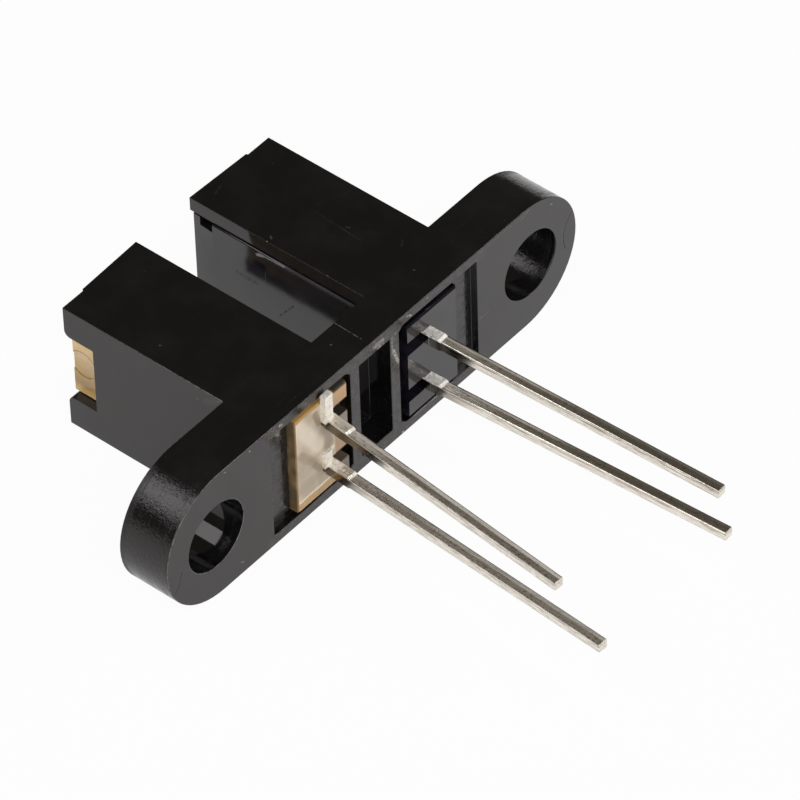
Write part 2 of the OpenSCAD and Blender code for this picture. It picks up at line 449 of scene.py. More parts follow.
@dataclass(frozen=True)
class BlackMoulding:
    """Glossy black moulded plastic of the housing, a little scratched, with a rubbed rim on its seat.

    Attributes:
        name: Name of the material.
        deep: Colour of the plastic.
        worn: Colour of its paler clouds.
        scratch: Colour of the fine scratches.
        scuff: Colour of the specks and the rubbed rim.
        nick: Colour of the nicks.
        gloss: Least and greatest roughness of the clean plastic.
        ripple: Height of the slow waves in its surface.
        sheen_tint: Colour of its reflections.
        scratch_sets: Turn, fineness, length and cut of each set of fine scratches.
        speck_sets: Density, radius, share and shift of each set of specks.
        seat_y: Seating face.
        ear_x: Round ends of the ears, from the middle of the part.
        ear_y: Their sides, behind the seating face.
        ear_back_y: Far edge of those sides, which is matt.
        strip_z: Strips over and under the pockets, from the middle.
        strip_x: Ends of those strips, from the middle.
        bar_x: Sides of the bars between the pockets, from the middle.
        scuffed_y: Sides of the scuffed band behind the seating face.
        ledge_x: Sides of the matt lower ledge in the emitter's tip window.
        ledge_y: Where that ledge begins along the tower.
        ledge_z: Bottom and top of that ledge.
        pin_x: Centre of the ejector pin's witness line at each ear, from the middle.
        pin_z: Height of that centre.
        pin_r: Radius of the line.
        pin_half: Half the width of the line.
        pin_blur: Blur of the line.
        pin_top: Upper end of the line on the right ear.
        pin_bottom: Lower end of the line on the right ear.
        pin_drop: How much lower the upper end lies on the left ear.
        seat_marks: Nicks on the seating face.
        top_marks: Nicks on the other faces.
    """

    name: str = "black_moulding"
    deep: Colour = (0.0034, 0.0033, 0.0035)
    worn: Colour = (0.0075, 0.0073, 0.0076)
    scratch: Colour = (0.035, 0.034, 0.033)
    scuff: Colour = (0.34, 0.33, 0.32)
    nick: Colour = (0.62, 0.61, 0.59)
    gloss: Span = (0.035, 0.08)
    ripple: float = 0.003
    sheen_tint: tuple[float, float, float, float] = (1.0, 0.915, 0.905, 1.0)
    scratch_sets: tuple[tuple[Triple, float, float, float], ...] = (
        ((12, 31, 24), 26.0, 0.6, 0.72),
        ((0, -18, -38), 30.0, 0.8, 0.74),
    )
    speck_sets: tuple[tuple[float, float, float, Triple], ...] = (
        (1.3, 0.03, 0.12, (0, 0, 0)),
        (3.1, 0.016, 0.10, (0.4, 0.2, 0.7)),
    )
    seat_y: Span = (0.02, 0.005)
    ear_x: Span = (9.6, 10.6)
    ear_y: Span = (0.03, 0.06)
    ear_back_y: Span = (1.85, 2.35)
    strip_z: Span = (2.60, 2.72)
    strip_x: Span = (6.9, 6.3)
    bar_x: Triple = (0.95, 1.45, 0.06)
    scuffed_y: Triple = (0.2, 0.5, 0.1)
    ledge_x: Triple = (-6.14, -5.3, 0.02)
    ledge_y: Span = (8.8, 9.2)
    ledge_z: Triple = (-2.4, -1.8, 0.1)
    pin_x: float = 13.0
    pin_z: float = -0.15
    pin_r: float = 1.42
    pin_half: float = 0.016
    pin_blur: float = 0.012
    pin_top: Span = (1.05, 0.90)
    pin_bottom: Span = (-0.85, -0.70)
    pin_drop: float = 1.22
    seat_marks: tuple[Mark, ...] = (
        ((-8.88, 0, 2.98), (-8.82, 0, 2.95), 0.06, 0.5),
        ((-7.42, 0, 2.98), (-7.38, 0, 2.94), 0.06, 0.5),
        ((-5.62, 0, 2.95), (-5.54, 0, 2.93), 0.12, 0.9),
        ((-8.25, 0, -2.5), (-8.08, 0, -2.6), 0.05, 0.35),
        ((0.05, 0, 2.80), (0.50, 0, 2.78), 0.24, 0.35),
        ((1.04, 0, 2.50), (1.08, 0, 1.60), 0.08, 0.35),
        ((1.12, 0, 1.75), (1.36, 0, 0.95), 0.15, 0.70),
        ((1.10, 0, 2.50), (1.30, 0, 2.60), 0.10, 0.2),
        ((2.20, 0, -2.72), (4.60, 0, -2.74), 0.07, 0.30),
        ((2.00, 0, 2.95), (2.22, 0, 2.82), 0.09, 0.7),
        ((3.2, 0, 3.02), (3.24, 0, 2.98), 0.05, 0.5),
        ((9.0, 0, 2.86), (9.5, 0, 3.03), 0.05, 0.16),
        ((6.5, 0, 2.97), (9.4, 0, 3.06), 0.035, 0.10),
        ((10.8, 0, 2.35), (10.92, 0, 2.28), 0.06, 0.3),
        ((1.50, 0, -3.05), (1.56, 0, -3.12), 0.09, 0.8),
        ((6.2, 0, -0.55), (6.9, 0, -0.58), 0.05, 0.12),
    )
    top_marks: tuple[Mark, ...] = (
        ((-0.22, 1.80, 3.175), (-0.25, 0.45, 3.175), 0.035, 0.22),
        ((4.08, 6.4, 3.175), (4.00, 5.2, 3.175), 0.045, 0.015),
        ((4.00, 5.2, 3.175), (3.95, 4.0, 3.175), 0.06, 0.025),
        ((4.16, 4.92, 3.175), (4.22, 4.78, 3.175), 0.07, 0.05),
        ((4.68, 2.52, 3.175), (4.98, 2.72, 3.175), 0.06, 0.02),
        ((1.84, 6.80, 3.175), (1.92, 6.90, 3.175), 0.07, 0.15),
        ((2.40, 10.20, 3.175), (2.85, 10.30, 3.175), 0.10, 0.02),
        ((-5.38, 6.32, 3.175), (-5.34, 6.28, 3.175), 0.07, 0.16),
        ((3.95, 1.30, 3.175), (4.0, 1.26, 3.175), 0.06, 0.16),
        ((-1.24, 1.16, 3.175), (-1.20, 1.14, 3.175), 0.06, 0.16),
        ((-6.175, 2.70, 2.95), (-6.175, 3.30, 2.60), 0.30, 0.035),
        ((-6.175, 2.60, 3.05), (-6.175, 2.95, 2.85), 0.06, 0.12),
        ((-6.175, 3.70, 2.55), (-6.175, 3.78, 2.45), 0.07, 0.10),
    )

    def pin_line(self, graph: Graph) -> Socket:
        """Gives the thin curved witness line of the ejector pin at the end of each ear.

        Args:
            graph: The material's graph.

        Returns:
            A value socket, 1 on the line.
        """
        z = graph.axis("Z")
        left = graph.math("LESS_THAN", graph.axis("X"), 0.0)
        across = graph.math("SUBTRACT", graph.off_middle("X"), self.pin_x)
        along = graph.math("SUBTRACT", z, self.pin_z)
        inner, outer = self.pin_r - self.pin_half, self.pin_r + self.pin_half
        line = graph.span(graph.reach(across, along), inner, outer, self.pin_blur)
        upper = graph.step(graph.math("MULTIPLY_ADD", left, self.pin_drop, z), *self.pin_top)
        lower = graph.step(graph.math("ADD", left, z), *self.pin_bottom)
        return graph.times(line, graph.times(upper, lower))

    def rim(self, graph: Graph, seat: Socket) -> Socket:
        """Gives the narrow strips of the seat beside the pockets, where the gloss is rubbed.

        Args:
            graph: The material's graph.
            seat: Share of the seating face.

        Returns:
            A value socket, 1 on the strips.
        """
        x = graph.off_middle("X")
        strips = graph.times(graph.step(graph.off_middle("Z"), *self.strip_z), graph.step(x, *self.strip_x))
        return graph.times(seat, graph.most(strips, graph.span(x, *self.bar_x)))

    def make(self) -> bpy.types.Material:
        """Builds the material.

        Returns:
            The material.
        """
        graph = Graph(self.name)
        place, y = graph.place(), graph.axis("Y")
        cloud = graph.noise(place, scale=0.55, detail=4.0, rough=0.55)
        wave = graph.noise(place, scale=0.9, detail=2.0)
        blotch = graph.noise(place, scale=3.2, rough=0.65)
        mottle = graph.noise(place, scale=7.0, rough=0.65)
        broken = graph.noise(place, scale=9.0, detail=4.0, rough=0.7)
        grain = graph.noise(place, scale=14.0, rough=0.6)
        drawn = graph.noise(graph.place(scale=(1.2, 13.0, 1.2)), scale=1.0, rough=0.65)
        fine = graph.most(*(graph.scratches(*one) for one in self.scratch_sets))
        specks = graph.most(*(graph.flecks(*one) for one in self.speck_sets))

        seat = graph.step(y, *self.seat_y)
        on_ears = graph.times(graph.step(graph.off_middle("X"), *self.ear_x), graph.step(y, *self.ear_y))
        back_edge = graph.times(on_ears, graph.step(y, *self.ear_back_y))
        streaked = graph.times(on_ears, graph.step(drawn, 0.46, 0.64))
        line = graph.times(self.pin_line(graph), seat)
        rim = self.rim(graph, seat)
        rubbed = graph.times(rim, graph.step(blotch, 0.40, 0.68))
        scuffed = graph.times(graph.span(y, *self.scuffed_y), graph.step(blotch, 0.34, 0.60))
        ledge = graph.times(
            graph.span(graph.axis("X"), *self.ledge_x), graph.span(graph.axis("Z"), *self.ledge_z),
            graph.step(y, *self.ledge_y))
        nicks = graph.most(graph.times(graph.marks(self.seat_marks), seat), graph.marks(self.top_marks))
        nicks = graph.times(nicks, graph.step(broken, 0.34, 0.62))

        colour = graph.mix(graph.step(cloud, 0.35, 0.75), self.deep, self.worn)
        for share, amount, tone in (
            (fine, 0.25, self.scratch), (specks, 0.5, self.scuff), (rubbed, 0.10, self.scuff),
        ):
            colour = graph.mix(graph.times(share, amount), colour, tone)
        colour = graph.mix(graph.math("MULTIPLY", nicks, 1.0, clamp=True), colour, self.nick)
        rough = graph.pile(graph.range(cloud, *self.gloss), (
            (specks, 0.4), (line, 0.9), (nicks, 0.3), (rubbed, 0.12), (rim, 0.16),
            (streaked, 0.18), (back_edge, 0.30), (scuffed, 0.22), (ledge, 0.6),
        ))
        rough = graph.math("ADD", rough, 0.0, clamp=True)
        normal = graph.bump(wave, self.ripple)
        for height, depth, strength in (
            (graph.times(grain, graph.range(rim, 0.3, 3.0)), 0.0009, 0.5),
            (graph.times(drawn, on_ears), 0.016, 0.6),
            (graph.times(mottle, on_ears), 0.030, 0.6),
            (line, -0.03, 0.9),
        ):
            normal = graph.bump(height, depth, strength, normal)
        return graph.finish({
            "Base Color": colour, "Roughness": rough, "Normal": normal, "IOR": 1.50,
            "Specular Tint": self.sheen_tint,
        })


@dataclass(frozen=True)
class WornEdge:
    """Edges of the black moulding, mostly sharp and dark, with small chips that catch the light.

    Attributes:
        name: Name of the material.
        plain: Colour of the whole edge.
        chip: Colour of the chips.
        polish: Least and greatest roughness of the whole edge.
        seat_y: Edges of the seating face.
        shoulder_x: Outer edges of the emitter's tower.
        shoulder_y: How the wear of those edges fades towards the tip.
    """

    name: str = "black_moulding_edge"
    plain: Colour = (0.005, 0.0049, 0.005)
    chip: Colour = (0.30, 0.29, 0.28)
    polish: Span = (0.10, 0.28)
    seat_y: Span = (0.08, 0.02)
    shoulder_x: Span = (-6.0, -6.1)
    shoulder_y: Span = (9.8, 3.0)

    def make(self) -> bpy.types.Material:
        """Builds the material.

        Returns:
            The material.
        """
        graph = Graph(self.name)
        place, y = graph.place(), graph.axis("Y")
        chips = graph.step(graph.noise(place, scale=3.6, detail=4.0, rough=0.7), 0.60, 0.72)
        broken = graph.step(graph.noise(place, scale=5.0, detail=4.0, rough=0.7), 0.30, 0.66)
        specks = graph.flecks(density=1.9, radius=0.07, share=0.16)
        seat = graph.step(y, *self.seat_y)
        shoulder = graph.times(
            graph.step(graph.axis("X"), *self.shoulder_x), graph.step(y, *self.shoulder_y), broken)
        marks = graph.times(chips, graph.range(seat, 0.05, 0.35))
        marks = graph.most(marks, graph.times(shoulder, 0.40), specks)
        rough = graph.range(graph.noise(place, scale=6.0, rough=0.6), *self.polish)
        return graph.finish({
            "Base Color": graph.mix(marks, self.plain, self.chip),
            "Roughness": graph.math("ADD", rough, graph.times(marks, 0.25)),
            "Normal": graph.bump(graph.noise(place, scale=11.0, rough=0.6), 0.004, 0.6),
            "IOR": 1.53,
        })


@dataclass(frozen=True)
class AmberEpoxy:
    """Amber cast epoxy of the emitter, with a paler frosted field on its base, and painted light and shade
    in its colour.

    Attributes:
        name: Name of the material.
        honey: Colour of the clear epoxy.
        olive: Colour of its grit, and of the ejector mark's outline with its painted shade along the upper
            arc.
        flank_tones: Darker and paler colour of the block's outer flank.
        pale: Painted light colour at the top of the tip window.
        shade: Painted shade colour further down in it.
        lower_glow: Painted glow colour at its bottom.
        frost: Colour of the frosted field.
        frost_dim: Darker colour of the frosted field, for its darker clouds, its grains, its smudge marks
            and the painted shade beside the lead roots.
        painted_gleam_tone: Colour of the painted highlights on the frosted field.
        field_x: Sides of the frosted field.
        field_z: Bottom and top of the frosted field.
        base_y: Back face of the base.
        flank_x: Outer flank.
        head_y: Head of the block, in the tip window.
        window_x: Outer face of the head.
        window_z: Fall of the painted light from the top of the window.
        glow_z: Painted glow at its bottom.
        mark_y: Centre of the round ejector mark in the window.
        mark_r: Radius of the mark.
        mark_line_r: Inner and outer side of its line from that radius, and the blur.
        mark_z: Change from its lower to its upper arc.
        mark_strength: Strength of the line on its lower and upper arc; the stronger upper arc is painted
            shade.
        teeth_x: Toothed side of the base.
        teeth_y: Depth of the teeth.
        base_half: Half the height of the base.
        teeth: Colours up the toothed side; the near-black bands where the notches lie are painted shade.
        smudges_and_painted_shade: Smudges on the frosted field, and painted shade beside the lead roots.
        painted_gleams: Painted highlights on the frosted field.
    """

    name: str = "amber_epoxy"
    honey: Colour = (0.46, 0.28, 0.105)
    olive: Colour = (0.18, 0.12, 0.042)
    flank_tones: tuple[Colour, Colour] = ((0.11, 0.076, 0.034), (0.25, 0.165, 0.082))
    pale: Colour = (0.70, 0.50, 0.25)
    shade: Colour = (0.28, 0.175, 0.055)
    lower_glow: Colour = (0.56, 0.37, 0.15)
    frost: Colour = (0.58, 0.48, 0.365)
    frost_dim: Colour = (0.27, 0.21, 0.145)
    painted_gleam_tone: Colour = (0.82, 0.72, 0.58)
    field_x: Triple = (-5.4, -2.60, 0.06)
    field_z: Triple = (-2.02, 2.40, 0.05)
    base_y: Span = (-0.07, -0.09)
    flank_x: Span = (-4.80, -4.86)
    head_y: Span = (8.6, 9.2)
    window_x: Span = (-5.5, -5.6)
    window_z: Span = (-1.3, 1.2)
    glow_z: Span = (-1.0, -1.55)
    mark_y: float = 10.16
    mark_r: float = 0.66
    mark_line_r: Triple = (-0.005, 0.045, 0.012)
    mark_z: Span = (-0.15, 0.15)
    mark_strength: Span = (0.20, 0.85)
    teeth_x: Span = (-2.64, -2.56)
    teeth_y: Span = (0.66, 0.60)
    base_half: float = 2.5
    # The near-black bands from 0.19 to 0.315 and from 0.685 to 0.825 fall on the notches and are painted
    # shade.
    teeth: tuple[tuple[float, Colour], ...] = (
        (0.00, (0.13, 0.10, 0.075)), (0.17, (0.17, 0.13, 0.10)), (0.19, (0.015, 0.011, 0.007)),
        (0.315, (0.015, 0.011, 0.007)), (0.33, (0.42, 0.25, 0.125)), (0.48, (0.40, 0.26, 0.15)),
        (0.56, (0.25, 0.20, 0.15)), (0.67, (0.26, 0.21, 0.165)), (0.685, (0.015, 0.011, 0.007)),
        (0.825, (0.015, 0.011, 0.007)), (0.84, (0.48, 0.28, 0.11)), (0.96, (0.52, 0.32, 0.14)),
        (0.985, (0.05, 0.042, 0.034)),
    )
    # Darker marks on the frosted field: those beside the lead roots are painted shade, the rest are smudge
    # marks.
    smudges_and_painted_shade: tuple[Mark, ...] = (
        ((-3.70, -0.1, 2.10), (-3.50, -0.1, 1.45), 0.30, 0.85),
        ((-3.85, -0.1, -0.55), (-3.55, -0.1, -1.00), 0.36, 0.80),
        ((-3.20, -0.1, 0.90), (-3.00, -0.1, 0.00), 0.60, 0.80),
        ((-3.50, -0.1, 0.80), (-3.45, -0.1, 0.35), 0.40, 0.65),
        ((-4.60, -0.1, 0.45), (-3.75, -0.1, -0.60), 0.42, 0.50),
        ((-4.80, -0.1, -0.50), (-3.90, -0.1, -0.60), 0.60, 0.30),
        ((-3.55, -0.1, -1.00), (-3.55, -0.1, -1.70), 0.45, 0.45),
        ((-4.50, -0.1, -1.30), (-3.40, -0.1, -1.50), 0.90, 0.28),
    )
    # Painted highlights on the frosted field.
    painted_gleams: tuple[Mark, ...] = (
        ((-4.70, -0.1, 2.10), (-3.60, -0.1, 0.30), 0.70, 0.65),
        ((-3.30, -0.1, -0.55), (-2.75, -0.1, -0.45), 0.22, 0.90),
        ((-4.85, -0.1, -1.96), (-3.00, -0.1, -1.93), 0.10, 0.80),
    )

    def frosted(self, graph: Graph, ripple: Socket) -> Socket:
        """Gives the place of the frosted field on the base.

        Args:
            graph: The material's graph.
            ripple: Slow pattern by which its sides wander.

        Returns:
            A value socket, 1 on the field.
        """
        wander = graph.times(graph.math("SUBTRACT", ripple, 0.5), 0.25)
        x = graph.math("ADD", graph.axis("X"), wander)
        z = graph.math("ADD", graph.axis("Z"), wander)
        return graph.times(
            graph.span(x, *self.field_x), graph.span(z, *self.field_z),
            graph.step(graph.axis("Y"), *self.base_y))

    def frosting(self, graph: Graph, ripple: Socket, grit: Socket) -> Socket:
        """Gives the colour of the frosted field, with smudge marks, painted shade and painted highlights.

        Args:
            graph: The material's graph.
            ripple: Slow pattern in its tone.
            grit: Fine pattern of its grains.

        Returns:
            A colour socket.
        """
        dimmer = graph.mix(0.5, self.frost_dim, self.frost)
        colour = graph.mix(graph.step(ripple, 0.30, 0.70), dimmer, self.frost)
        # Smudge marks, and painted shade beside the lead roots.
        colour = graph.mix(graph.marks(self.smudges_and_painted_shade), colour, self.frost_dim)
        # Painted highlights on the frosted field.
        colour = graph.mix(graph.marks(self.painted_gleams), colour, self.painted_gleam_tone)
        return graph.mix(graph.times(graph.step(grit, 0.56, 0.78), 0.25), colour, self.frost_dim)

    def mark_outline_and_shade(self, graph: Graph) -> Socket:
        """Gives the thin outline of the round ejector mark in the tip window, with painted shade on its
        upper arc.

        Args:
            graph: The material's graph.

        Returns:
            A value socket, strongest on the upper arc.
        """
        z = graph.axis("Z")
        along = graph.math("SUBTRACT", graph.axis("Y"), self.mark_y)
        inner, outer, blur = self.mark_line_r
        line = graph.span(graph.reach(along, z), self.mark_r + inner, self.mark_r + outer, blur)
        # The outline is drawn stronger on the upper arc, as painted shade.
        arc_strength_with_shade = graph.range(graph.step(z, *self.mark_z), *self.mark_strength)
        return graph.times(line, arc_strength_with_shade, graph.step(graph.axis("X"), *self.window_x))

    def clear(self, graph: Graph, place: Socket, grit: Socket) -> Socket:
        """Gives the colour of the clear amber on the flank, in the window and down the teeth, with painted
        light and shade.

        Args:
            graph: The material's graph.
            place: Coordinates of the piece.
            grit: Fine pattern of its grains.

        Returns:
            A colour socket.
        """
        x, y, z = (graph.axis(name) for name in "XYZ")
        clouds = graph.step(graph.noise(place, scale=0.9, detail=2.0), 0.38, 0.62)
        flank = graph.mix(clouds, *self.flank_tones)
        flank = graph.mix(graph.step(x, *self.flank_x), self.honey, flank)
        # Painted light in the tip window: pale at the top, painted shade further down and a painted glow at
        # the bottom.
        window = graph.mix(graph.step(z, *self.window_z, soft=False), self.shade, self.pale)
        window = graph.mix(graph.step(z, *self.glow_z), window, self.lower_glow)
        colour = graph.mix(graph.step(y, *self.head_y), flank, window)
        colour = graph.mix(self.mark_outline_and_shade(graph), colour, self.olive)
        toothed = graph.times(graph.step(x, *self.teeth_x), graph.step(y, *self.teeth_y))
        height = graph.step(z, -self.base_half, self.base_half, soft=False)
        # The teeth take the ramp, with its painted shade in the notches.
        colour = graph.mix(toothed, colour, graph.ramp(height, self.teeth))
        return graph.mix(graph.times(graph.step(grit, 0.55, 0.78), 0.18), colour, self.olive)

    def make(self) -> bpy.types.Material:
        """Builds the material.

        Returns:
            The material.
        """
        graph = Graph(self.name)
        place = graph.place()
        ripple = graph.noise(place, scale=1.1, rough=0.55)
        grit = graph.noise(place, scale=11.0, detail=4.0, rough=0.65)
        frosted = self.frosted(graph, ripple)
        colour = graph.mix(frosted, self.clear(graph, place, grit), self.frosting(graph, ripple, grit))
        rough = graph.math("ADD", graph.range(frosted, 0.10, 0.32), graph.range(grit, -0.04, 0.06))
        normal = graph.bump(grit, 0.003, 0.5, graph.bump(ripple, 0.05, 0.4))
        return graph.finish({
            "Base Color": colour, "Roughness": rough, "Normal": normal, "IOR": 1.54,
            "Subsurface Weight": 0.25, "Subsurface Radius": (1.0, 0.5, 0.18), "Subsurface Scale": 0.4 * MM,
        })


@dataclass(frozen=True)
class BlackEpoxy:
    """Polished, faintly violet black epoxy of the sensor, which passes infrared only.

    Attributes:
        name: Name of the material.
        deep: Colour of the epoxy.
        haze: Colour of its paler clouds.
        speck: Colour of the specks.
        painted_highlight_tone: Colour of the painted highlights on the face in the slot.
        gloss: Least and greatest roughness of the clean epoxy.
        rim_x: Face in the slot.
        rim_y: Length of the matt rim on it.
        rim_z: Bottom and top of that rim.
        dulled: Matt marks on the face in the slot.
        light: Painted highlights on it: the bright sliver along its ledge and a thin edge line.
    """

    name: str = "black_epoxy"
    deep: Colour = (0.0045, 0.0038, 0.0062)
    haze: Colour = (0.012, 0.0105, 0.015)
    speck: Colour = (0.20, 0.20, 0.21)
    painted_highlight_tone: Colour = (0.30, 0.29, 0.29)
    gloss: Span = (0.06, 0.12)
    rim_x: Span = (1.62, 1.54)
    rim_y: Span = (6.2, 5.6)
    rim_z: Triple = (2.34, 2.60, 0.02)
    dulled: tuple[Mark, ...] = (
        ((1.5, 5.50, 0.50), (1.5, 6.25, -0.50), 0.07, 0.8),
        ((1.5, 7.40, 0.60), (1.5, 8.40, 0.60), 0.18, 0.45),
    )
    # Painted highlights: the bright sliver along the ledge of the face in the slot, and a thin edge line.
    light: tuple[Mark, ...] = (
        ((1.5, 6.90, 1.00), (1.5, 6.90, 1.45), 0.04, 0.18),
        ((1.5, 7.20, 2.36), (1.5, 5.90, 2.40), 0.08, 0.7),
        ((1.5, 7.30, 2.25), (1.5, 7.00, 2.34), 0.12, 0.9),
    )

    def make(self) -> bpy.types.Material:
        """Builds the material.

        Returns:
            The material.
        """
        graph = Graph(self.name)
        place = graph.place()
        cloud = graph.noise(place, scale=0.8)
        specks = graph.flecks(density=2.0, radius=0.02, share=0.12)
        dulled = graph.times(graph.marks(self.dulled), graph.step(graph.noise(place, scale=8.0), 0.36, 0.56))
        rim = graph.times(
            graph.span(graph.axis("Z"), *self.rim_z), graph.step(graph.axis("Y"), *self.rim_y),
            graph.step(graph.axis("X"), *self.rim_x))
        colour = graph.mix(graph.step(cloud, 0.4, 0.7), self.deep, self.haze)
        colour = graph.mix(graph.times(specks, 0.6), colour, self.speck)
        # Painted highlights on the face in the slot.
        colour = graph.mix(graph.marks(self.light), colour, self.painted_highlight_tone)
        rough = graph.math("ADD", graph.range(cloud, *self.gloss), graph.times(specks, 0.4))
        rough = graph.pile(rough, ((dulled, 0.6), (rim, 0.45)))
        normal = graph.bump(graph.noise(place, scale=0.7, detail=2.0), 0.004)
        normal = graph.bump(graph.noise(place, scale=12.0, detail=2.0), 0.0008, 0.5, normal)
        return graph.finish({
            "Base Color": colour, "Roughness": rough, "Normal": normal, "IOR": 1.56,
        })


@dataclass(frozen=True)
class TinnedLead:
    """Tinned metal of one lead: draw lines along it, a grainy top, and matt solder on its root, with painted
    shade and a painted highlight in its colour.

    Attributes:
        name: Name of the material.
        side: Tower of the lead's package.
        level: Height of the lead's axis at its bend.
        lean: Outward lean of the lead, in degrees.
        root_y: Where the solder on the root ends.
        far_strip: How far the smooth, paler strip reaches on the lead's top, from its axis.
        strip: How pale that strip is, near the root and at the end.
        haze: How matt the rest of the top is, near the root and at the end.
        facet_y: Middle of the painted highlight on the lead's shoulder.
        top_shade: How dark the painted shade on the lead's top is at its end, from 0 to 1.
        side_shade_and_streaks: How dark the lead's sides are painted near the root, as shade, and how dark
            the streaks along their upper half are.
        solder: Colour of the solder.
        bright: Colour of the clean metal.
        dull: Colour of its draw lines.
        pit_and_shade_tone: Colour of the pits, of the painted shade on the sides near the root and on the
            top towards the end, and of the streaks on the upper sides.
        painted_glint: Colour of the painted highlight on the lead's shoulder.
        facet_half: Half the length of the facet.
        facet_blur: Blur of its ends.
        facet_across: Side of the top that the facet keeps to on the emitter's leads.
        root_blur: Blur of the solder's end.
        top_above: Top of the lead, over its axis.
        flank_above: Bottom and top of the darker streaked band on its sides, over its axis.
        root_side_shade_y: Stretch of painted shade on the sides near the root.
        strip_run: Change of the strip, in distance from the bend.
        haze_run: Change of the haze, in distance from the bend.
        top_shade_run: Growth of the painted shade on the top, in distance from the bend.
        row_x: Distance of the lead's bend from the middle.
        bend_y: Where the lead bends.
        closing: Lean of the lead towards its neighbour, in degrees.
    """

    name: str
    side: Side
    level: float
    lean: float
    root_y: float
    far_strip: float
    strip: Span
    haze: Span
    facet_y: float
    top_shade: float
    side_shade_and_streaks: Span
    solder: Colour = (0.95, 0.905, 0.83)
    bright: Colour = (0.905, 0.845, 0.765)
    dull: Colour = (0.62, 0.565, 0.485)
    pit_and_shade_tone: Colour = (0.17, 0.14, 0.105)
    painted_glint: Colour = (0.97, 0.95, 0.91)
    facet_half: float = 0.07
    facet_blur: float = 0.03
    facet_across: Span = (-0.02, -0.08)
    root_blur: float = 0.05
    top_above: Span = (0.16, 0.20)
    flank_above: Triple = (0.04, 0.15, 0.04)
    root_side_shade_y: Span = (-2.8, -1.2)
    strip_run: Span = (4.5, 7.5)
    haze_run: Span = (1.2, 4.5)
    top_shade_run: Span = (2.0, 10.0)
    row_x: float = 3.0
    bend_y: float = -0.25
    closing: float = 1.1

    def across(self, graph: Graph, run: Socket) -> Socket:
        """Gives the distance from the lead's axis towards its near side.

        Args:
            graph: The material's graph.
            run: Distance from the bend along the lead.

        Returns:
            A value socket, in millimetres.
        """
        out = graph.times(graph.axis("X"), float(self.side.value))
        axis = graph.math("MULTIPLY_ADD", run, math.tan(math.radians(self.lean)), self.row_x)
        return graph.times(graph.math("SUBTRACT", out, axis), -float(self.side.value))

    def above(self, graph: Graph, run: Socket) -> Socket:
        """Gives the height over the lead's axis.

        Args:
            graph: The material's graph.
            run: Distance from the bend along the lead.

        Returns:
            A value socket, in millimetres.
        """
        fall = math.copysign(math.tan(math.radians(self.closing)), self.level)
        axis = graph.math("MULTIPLY_ADD", run, -fall, self.level)
        return graph.math("SUBTRACT", graph.axis("Z"), axis)

    def painted_glint_mask(self, graph: Graph, top: Socket, across: Socket) -> Socket:
        """Gives the painted highlight on the lead's shoulder.

        Args:
            graph: The material's graph.
            top: Share of the lead's top.
            across: Distance from the lead's axis.

        Returns:
            A value socket, 1 on the facet.
        """
        low, high = self.facet_y - self.facet_half, self.facet_y + self.facet_half
        painted_glint = graph.times(top, graph.span(graph.axis("Y"), low, high, self.facet_blur))
        if self.side is Side.EMITTER:
            painted_glint = graph.times(painted_glint, graph.step(across, *self.facet_across))
        return painted_glint

    def make(self) -> bpy.types.Material:
        """Builds the material.

        Returns:
            The material.
        """
        graph = Graph(self.name)
        place, y = graph.place(), graph.axis("Y")
        run = graph.most(graph.math("SUBTRACT", self.bend_y, y), 0.0)
        across, above = self.across(graph, run), self.above(graph, run)
        drawn = graph.noise(graph.place(scale=(22.0, 0.7, 22.0)), scale=1.0, rough=0.6)
        grit = graph.noise(graph.place(scale=(12.0, 5.0, 12.0)), scale=1.0, detail=4.0, rough=0.7)
        patchy = graph.step(graph.noise(place, scale=6.5, rough=0.65), 0.40, 0.54)

        top = graph.step(above, *self.top_above)
        root = graph.step(y, self.root_y - self.root_blur, self.root_y + self.root_blur)
        # Painted highlight: a near-white patch on the shoulder.
        painted_glint = self.painted_glint_mask(graph, top, across)
        matt = graph.most(graph.times(root, top, graph.range(patchy, 0.30, 1.0)), painted_glint)
        # Painted shade: the sides are darkened near the root.
        sides = graph.math("SUBTRACT", self.side_shade_and_streaks[0], top, clamp=True)
        root_side_shade = graph.times(graph.step(y, *self.root_side_shade_y), sides)
        far = graph.times(
            top, graph.step(across, self.far_strip + 0.02, self.far_strip - 0.02),
            graph.range(graph.step(run, *self.strip_run), *self.strip))
        grainy = graph.math("SUBTRACT", top, graph.most(far, matt), clamp=True)
        haze = graph.times(grainy, graph.range(graph.step(run, *self.haze_run), *self.haze))
        # Darker streaks along the upper half of the sides.
        flank = graph.times(graph.span(above, *self.flank_above), graph.step(drawn, 0.35, 0.60))
        pits = graph.times(
            graph.step(grit, 0.52, 0.62), graph.range(grainy, 0.22, 0.65), graph.range(matt, 1.0, 0.0))
        # Painted shade: the grainy top darkens towards the end.
        top_shade = graph.times(grainy, graph.step(run, *self.top_shade_run))
        solder = graph.mix(graph.range(graph.step(grit, 0.44, 0.66), 0.0, 0.30), self.solder, self.dull)

        colour = graph.mix(graph.step(drawn, 0.40, 0.66), self.bright, self.dull)
